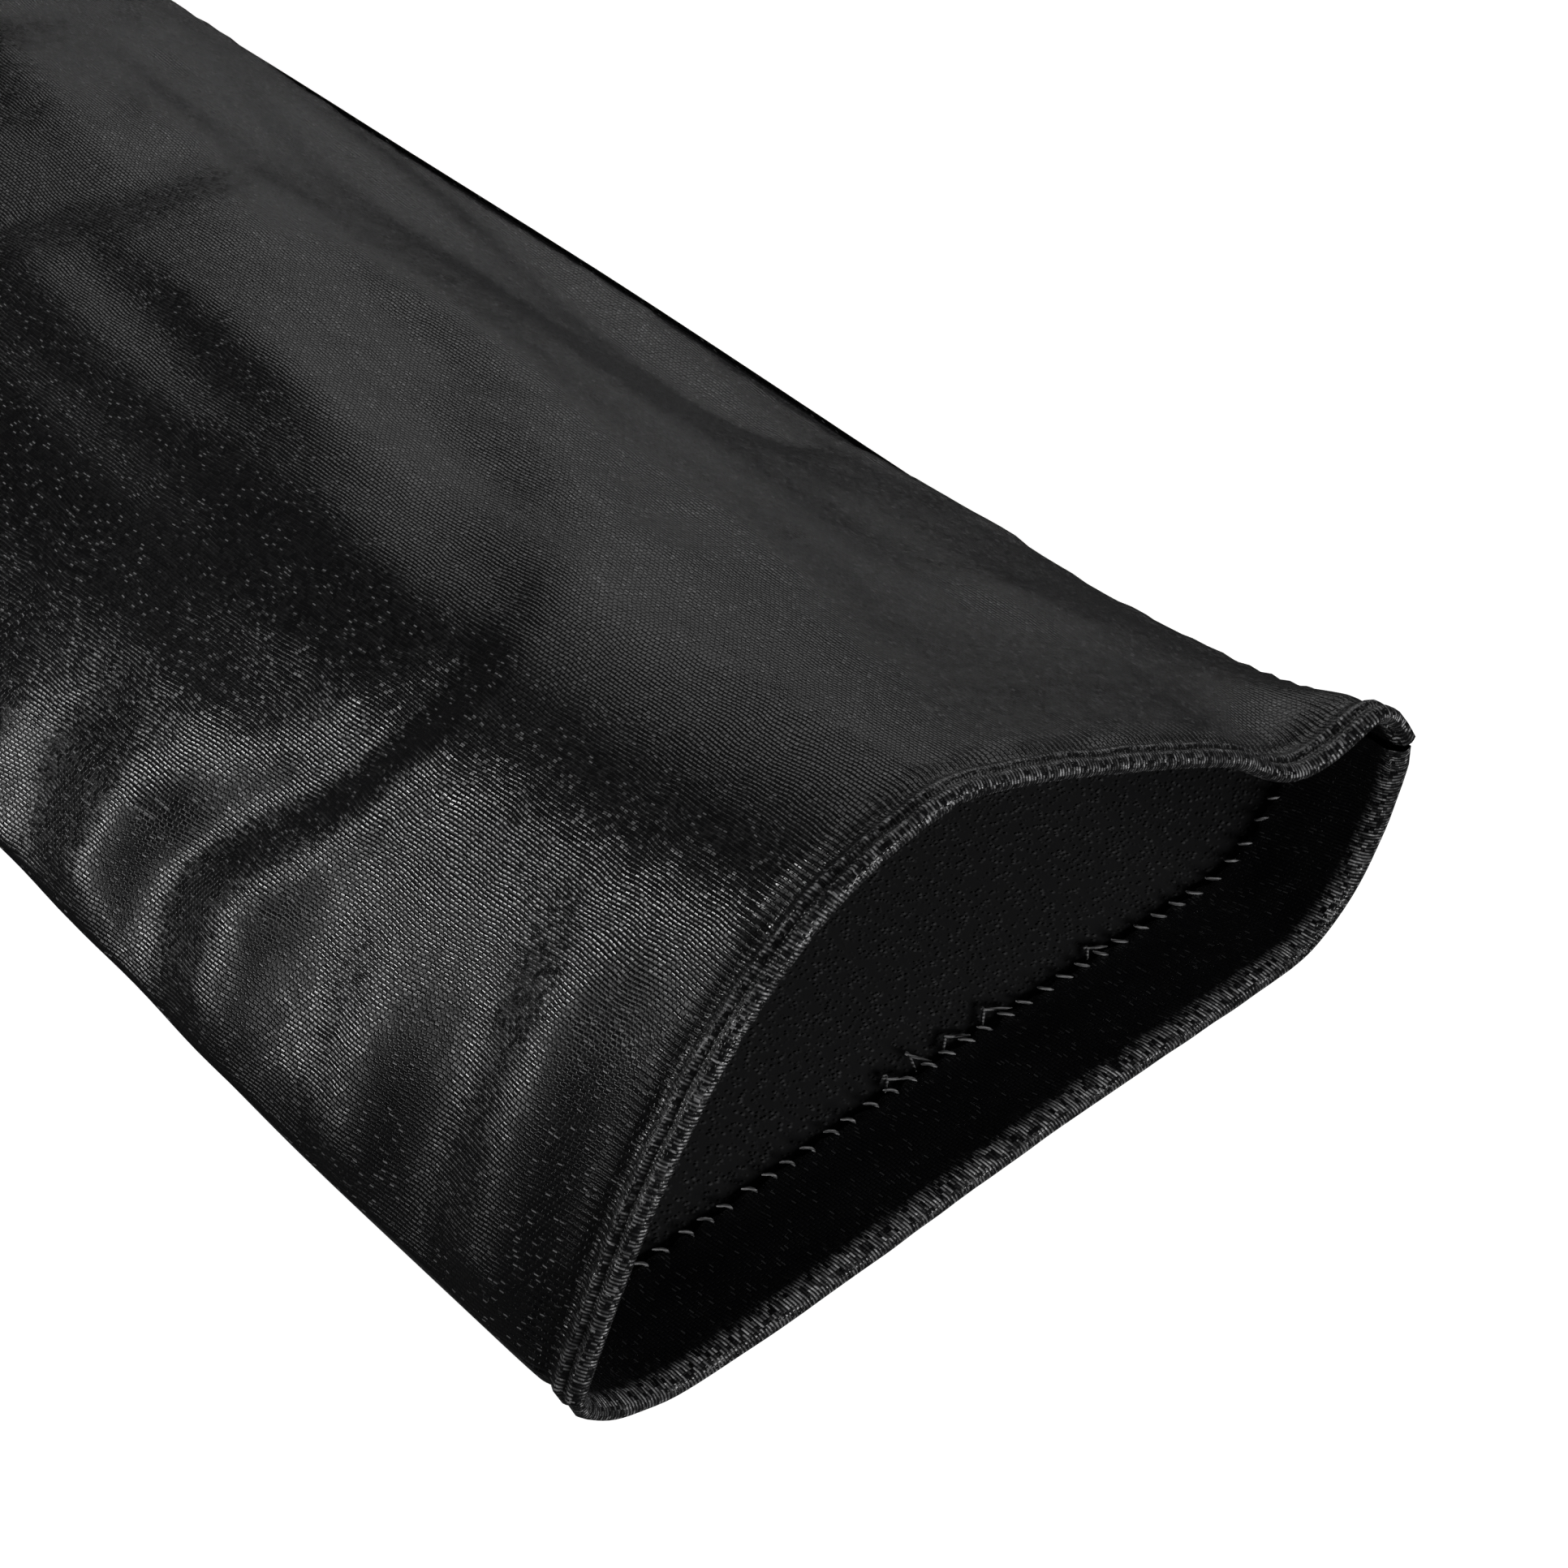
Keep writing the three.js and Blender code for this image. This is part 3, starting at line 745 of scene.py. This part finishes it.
def fingerGrid(name):
    finger = fingers[name]
    length = boxOf(f"left_{name}_palm")[1][1] - boxOf(f"left_{name}_palm")[0][1] + 0.15
    order = fingerNames[::-1].index(name)
    count = fingerShape["columns"] + 1
    up = handCloth[-1][order * count:(order + 1) * count]
    start = upColumns + (3 - order) * count - 1
    down = handCloth[-1][start:start + count]
    u = fingerU()
    lean = math.tan(math.radians(finger["splay"]))
    reach = finger["tipWidth"] * 0.55
    body = length - reach
    vs = np.concatenate([np.linspace(0, 1, fingerShape["rows"] + 1),
                         1 + np.linspace(0, 1, fingerShape["tipRows"] + 1)[1:]])
    rows, along = [], []
    for v in vs:
        t = min(v, 1.0)
        turn = max(0.0, v - 1) * math.radians(86)
        opened = math.cos(turn) ** 0.9
        half = lerp(finger["rootWidth"], finger["tipWidth"], t**1.3) / 2 * math.cos(turn)
        y = body * t + reach * math.sin(turn)
        height = lerp(fingerShape["rootHeight"], fingerShape["tipHeight"], t)
        edge = lerp(fingerShape["rootEdge"], fingerShape["tipEdge"], t)
        strip = lerp(fingerShape["stripRoot"], fingerShape["stripTip"], t)
        x = finger["centre"] + half * u - y * lean
        zUp = fingerLayer(finger, u, 1, height, edge, strip, opened)
        zDown = fingerLayer(finger, u[::-1], -1, height, edge, strip, opened)
        top = np.stack([x, np.full(count, y), zUp], -1)
        bottom = np.stack([x[::-1], np.full(count, y), zDown], -1)
        if v == 0:
            top = up - np.array([0, knuckleY, 0])
            bottom = down - np.array([0, knuckleY, 0])
        walls = []
        for a, b in ((top[-1], bottom[0]), (bottom[-1], top[0])):
            s = np.linspace(0, 1, fingerShape["wallColumns"] + 1)[1:-1, None]
            bulge = np.sin(np.pi * s) * 0.45 * math.cos(turn)
            out = np.array([[-1.0 if a is top[-1] or a[0] < finger["centre"] - y * lean else 1.0, 0, 0]])
            walls.append(lerp(a, b, s) + out * bulge)
        rows.append(np.concatenate([top, walls[0], bottom, walls[1]]))
        along.append(y)
    grid = np.array(rows) + np.array([0, knuckleY, 0])
    return grid, np.array(along)


# Soft dents in a finger's cloth, none at its root.
def fingerLie(grid, along, seed):
    closed = np.concatenate([grid[:, -1:], grid, grid[:, :1]], axis=1)
    n = normals(closed)[:, 1:-1]
    turnRound = np.linspace(0, 2 * np.pi, grid.shape[1], endpoint=False)[None, :]
    y = along[:, None]
    dents = 0.22 * waves(y + 0 * turnRound, 6 * np.sin(turnRound), 22, 14, seed)
    dents = dents + 0.16 * waves(y + 0 * turnRound, 6 * np.cos(turnRound), 9, 8, seed + 1)
    joint = -0.35 * bell(y, along[-1] * 0.36, 1.8) - 0.3 * bell(y, along[-1] * 0.66, 1.6)
    dents = dents + joint * np.clip(np.sin(turnRound) + 0.2, 0, 1)
    return grid + n * (dents * smooth(y, 1, 9) * smooth(along[-1] - y, 0.2, 5))[..., None]


def closeTip(grid):
    tip = grid[-1].mean(axis=0)
    return np.concatenate([grid.reshape(-1, 3), tip[None]])


def tubeFaces(rows, columns, flip):
    faces = gridFaces(rows, columns, flip, loop=True)
    tip, last = rows * columns, (rows - 1) * columns
    for j in range(columns):
        k = (j + 1) % columns
        faces.append((last + j, last + k, tip) if flip else (tip, last + k, last + j))
    return faces


def thumbGrid():
    middleY = wristY + thumb["rootStart"] + thumb["rootWidth"] / 2
    plane = float(track(middleY, sleeve["width"])) / 2 - thumb["seamInset"]
    angle = math.radians(thumb["angle"])
    ahead = np.array([-math.sin(angle), math.cos(angle)])
    acrossWay = np.array([ahead[1], -ahead[0]])
    end = np.array([-plane, middleY]) + ahead * thumb["length"]

    def edgeAt(side, t):
        root = np.array([-plane - 0.3, middleY + side * (thumb["rootWidth"] / 2 - 0.3)])
        tip = end + acrossWay * side * -thumb["tipWidth"] / 2 * -1
        reach = thumb["length"] / 3
        leave = root + np.array([-reach * 0.75, -side * reach / 4])
        arrive = tip - ahead * reach
        return ((1 - t) ** 3 * root + 3 * (1 - t) ** 2 * t * leave
                + 3 * (1 - t) * t**2 * arrive + t**3 * tip)

    u = (np.linspace(1, -1, thumb["columns"] + 1) + np.sin(np.linspace(1, -1, thumb["columns"] + 1)
                                                          * np.pi / 2)) / 2
    vs = np.concatenate([np.linspace(-0.16, 0, 7)[:-1], np.linspace(0, 1, thumb["rows"] + 1),
                         1 + np.linspace(0, 1, thumb["tipRows"] + 1)[1:]])
    rows, along = [], []
    for v in vs:
        t, back = min(max(v, 0), 1), min(v, 0) / 0.16
        turn = max(0.0, v - 1) * math.radians(86)
        opened = math.cos(turn) ** 0.9
        low, high = edgeAt(-1, t), edgeAt(1, t)
        half = (high - low) / 2 * math.cos(turn)
        centre = (low + high) / 2 + ahead * math.sin(turn) * thumb["tipWidth"] * 0.55
        centre = centre + np.array([-back * thumb["rootReach"], 0])
        half = half * (1 + back * 0.25)
        height = lerp(thumb["rootHeight"], thumb["tipHeight"], t) + back * 2.4
        edge = lerp(thumb["rootEdge"], thumb["tipEdge"], t)
        plan = centre + u[:, None] * half
        zUp = edge + 0.1 + (height - edge) * crown(u, 0) * opened
        zDown = (edge - 0.1) * (1 - (1 - cup(u[::-1])) * opened) - back * 0.8
        top = np.column_stack([plan, zUp])
        bottom = np.column_stack([plan[::-1], zDown])
        rows.append(np.concatenate([top, bottom]))
        along.append(thumb["length"] * t + reachPast(turn))
    return np.array(rows), np.array(along)


def reachPast(turn):
    return math.sin(turn) * thumb["tipWidth"] * 0.55


def clothAttributes(across, along, ribAndGlint=0.0, pucker=0.0):
    across, along, ribAndGlint, pucker = np.broadcast_arrays(across, along, ribAndGlint, pucker)
    cloth = np.stack([across, along, 0 * along], -1).reshape(-1, 3)
    return dict(cloth=cloth, ribAndGlint=ribAndGlint.ravel(), pucker=pucker.ravel())


def blendAcross(piece, side, a, b, low, high, x=0.0, z=0.0):
    start, end = toWorld([x, low, z], side), toWorld([x, high, z], side)
    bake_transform(piece)


def nodes(side, *names):
    return [f"{side}_{name}" for name in names]


bends = dict(elbow=(elbowY - 42, elbowY + 42), wrist=(wristY - 30, wristY + 30))


def buildGlove(side):
    flip = side == "right"
    onSleeve, onHand = [], []

    def gridPiece(name, grid, material, attributes):
        rows, columns = grid.shape[:2]
        return addMesh(f"{side}_{name}", toWorld(grid, side), gridFaces(rows, columns, flip),
                       material, attributes)

    skin = gridPiece("sleeve_skin", skinGrid, satin,
                     clothAttributes(skinAcross, skinAlong, skinRibAndGlint, skinPuckerAndShade))
    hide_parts(*nodes(side, "upper_sleeve_palm", "upper_sleeve_back",
                             "forearm_palm", "forearm_back"))
    blendAcross(skin, side, "upper_sleeve", "forearm", *bends["elbow"])

    liner = gridPiece("sleeve_lining", lining[::-1], wrongSide,
                      clothAttributes(sleeveAcross[0][liningColumns][None, :],
                                      liningY[::-1][:, None]))
    onSleeve.append(liner)
    blendAcross(liner, side, "upper_sleeve", "forearm", *bends["elbow"])

    # the facing's ribbing mask raises the ribbing and paints a bright line, a painted highlight, on the lower
    # lip's rim
    turned = gridPiece("hem_facing_cloth", facing[::-1], turnedSatinFewGlints,
                       clothAttributes(sleeveAcross[:1], facingAlong[::-1][:, None],
                                       (1.5 * bell(facingAlong[::-1], -2.6, 0.75)
                                        + 0.3 * smooth(facingAlong[::-1], -2.2, -1.2))[:, None]))
    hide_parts(f"{side}_hem_facing")
    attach(turned, f"{side}_upper_sleeve")
    onSleeve.append(turned)

    for name, routes, replaced in (("hem_stitches", stitchRoutes, [f"{side}_hem_stitching"]),
                                   ("loose_thread", looseLoops(), [])):
        vertices, faces = threads(routes, hem["threadRadius"])
        if not flip:
            faces = [f[::-1] for f in faces]
        sewn = addMesh(f"{side}_{name}", toWorld(vertices, side), faces, thread)
        if replaced:
            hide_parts(*replaced)
        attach(sewn, f"{side}_upper_sleeve")
        onSleeve.append(sewn)

    # side seam's allowance, inside along the sewn edge
    for name, ys, replaced in (("sleeve", np.arange(hem["depth"] + 2, splitY, 2.0),
                                ("upper_side_seam", "forearm_side_seam")),
                               ("hand", np.arange(splitY, knuckleY - 4, 2.0),
                                ("hand_side_seam",))):
        grid = seamAllowance(ys)
        strip = gridPiece(f"{name}_seam_allowance", grid, wrongSide,
                          clothAttributes(np.linspace(0, 9, grid.shape[1])[None, :], ys[:, None]))
        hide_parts(*nodes(side, *replaced))
        if name == "sleeve":
            blendAcross(strip, side, "upper_sleeve", "forearm", *bends["elbow"])
            onSleeve.append(strip)
        else:
            blendAcross(strip, side, "forearm", "hand", *bends["wrist"])
            onHand.append(strip)

    palm = gridPiece("hand_skin", handCloth, satin, clothAttributes(handAcross, handAlong))
    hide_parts(*nodes(side, "hand_palm", "hand_back"))
    blendAcross(palm, side, "forearm", "hand", *bends["wrist"])

    for name in fingerNames:
        grid, along = fingerGrid(name)
        grid = fingerLie(grid, along, 50 + fingerNames.index(name) * 3)
        rows, columns = grid.shape[:2]
        across = fingers[name]["centre"] + np.linspace(0, 46, columns)[None, :]
        attributes = clothAttributes(across, along[:, None] + knuckleY)
        attributes = {k: np.concatenate([v, v[-1:]]) for k, v in attributes.items()}
        piece = addMesh(f"{side}_{name}_finger", toWorld(closeTip(grid), side),
                        tubeFaces(rows, columns, flip), satin, attributes)
        replaced = [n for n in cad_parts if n.startswith(f"{side}_{name}_")]
        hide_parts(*replaced)
        blendAcross(piece, side, "hand", name, knuckleY, knuckleY + fingerShape["bendLength"])

    grid, along = thumbGrid()
    grid = fingerLie(grid, along, 71)
    rows, columns = grid.shape[:2]
    attributes = clothAttributes(np.linspace(0, 50, columns)[None, :], along[:, None])
    attributes = {k: np.concatenate([v, v[-1:]]) for k, v in attributes.items()}
    piece = addMesh(f"{side}_thumb_skin", toWorld(closeTip(grid), side),
                    tubeFaces(rows, columns, flip), satin, attributes)
    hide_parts(*nodes(side, "thumb_palm", "thumb_back"))
    start, end = toWorld([-30, 0, 0], side), toWorld([-48, 0, 0], side)
    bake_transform(piece)
    print(side, "glove made")


def seamAllowance(ys):
    half = track(ys, sleeve["width"]) / 2 - sleeve["cloth"] - 0.4
    z = track(ys, sleeve["seam"])
    wave = 0.35 * waves(ys, 0 * ys, 14, 14, 61)
    # two raw edges pressed together: up one face and down the other
    profile = [(0, 0.25), (1.5, 0.35), (3, 0.4), (4, 0.35), (4.2, 0.0), (4, -0.35), (3, -0.4),
               (1.5, -0.35), (0, -0.25)]
    return np.array([[(h - a, y, zz + w * a / 4 + b) for a, b in profile]
                     for h, y, zz, w in zip(half, ys, z, wave)])


for side in ("left", "right"):
    buildGlove(side)


def emissive(name, colour, glow, base):
    m = Finish(name)
    m.set(Base_Color=(*base, 1), Roughness=0.9, Emission_Color=(*colour, 1), Emission_Strength=glow)
    return m.material


stage = dict(
    size=3.2, floorGlow=0.9, floorColour=(0.8, 0.8, 0.8), skyColour=(1, 1, 1), skyGlow=0.035,
)


def makeStage():
    half = stage["size"] / 2
    floor = addMesh("floor", [(-half, -half, -0.0004), (half, -half, -0.0004), (half, half, -0.0004),
                              (-half, half, -0.0004)], [(0, 1, 2, 3)],
                    emissive("Pale floor", (1, 1, 1), stage["floorGlow"], stage["floorColour"]))
    floor.visible_glossy = False
    floor.visible_diffuse = False
    world = bpy.data.worlds.new("Studio")
    bpy.context.scene.world = world
    world.use_nodes = True
    background = world.node_tree.nodes["Background"]
    background.inputs["Color"].default_value = (*stage["skyColour"], 1)
    background.inputs["Strength"].default_value = stage["skyGlow"]


lights = dict(
    key=dict(place=(-160, 190, 84), aim=(-44, 24, 24), size=(44, 22), power=0.082),
    left=dict(place=(-450, 290, 72), aim=(-50, 30, 20), size=(220, 80), power=0.2),
    top=dict(place=(60, 620, 660), aim=(0, 60, 20), size=(600, 460), power=0.115),
    side=dict(place=(440, 420, 270), aim=(0, 60, 20), size=(520, 420), power=0.58),
    front=dict(place=(-60, -580, 260), aim=(0, 0, 20), size=(300, 160), power=2.2),
)


def makeLights():
    for name, light in lights.items():
        data = bpy.data.lights.new(name, "AREA")
        data.shape = "RECTANGLE"
        data.size, data.size_y = (s * mm for s in light["size"])
        data.energy = light["power"]
        lamp = bpy.data.objects.new(name, data)
        bpy.context.scene.collection.objects.link(lamp)
        lamp.location = Vector(toWorld(light["place"], "left"))
        lamp.rotation_mode = "QUATERNION"
        lamp.rotation_quaternion = (Vector(toWorld(light["aim"], "left"))
                                    - lamp.location).to_track_quat("-Z", "Y")
        lamp.visible_camera = False


camera = dict(
    azimuth=-41.353, elevation=45.220, roll=0.857,  # degrees
    lens=86.13, sensor=36,
    aim=(8.42, 45.33, 15.0), distance=402.4,
)


def makeCamera():
    a, e, roll = (math.radians(camera[k]) for k in ("azimuth", "elevation", "roll"))
    back = Vector((math.sin(a) * math.cos(e), -math.cos(a) * math.cos(e), math.sin(e)))
    right = Vector((math.cos(a), math.sin(a), 0))
    up = back.cross(right)
    rolledRight = math.cos(roll) * right + math.sin(roll) * up
    rolledUp = -math.sin(roll) * right + math.cos(roll) * up
    data = bpy.data.cameras.new("camera")
    data.lens, data.sensor_width = camera["lens"], camera["sensor"]
    data.clip_start, data.clip_end = 0.01, 20
    view = bpy.data.objects.new("camera", data)
    bpy.context.scene.collection.objects.link(view)
    place = Vector(toWorld(camera["aim"], "left")) + back * camera["distance"] * mm
    turn = Matrix((rolledRight, rolledUp, back)).transposed().to_4x4()
    view.matrix_world = Matrix.Translation(place) @ turn
    bpy.context.scene.camera = view


makeStage()
makeLights()
makeCamera()
bpy.context.scene.view_settings.view_transform = "Standard"
bpy.context.view_layer.update()
print("stage, light and camera set")
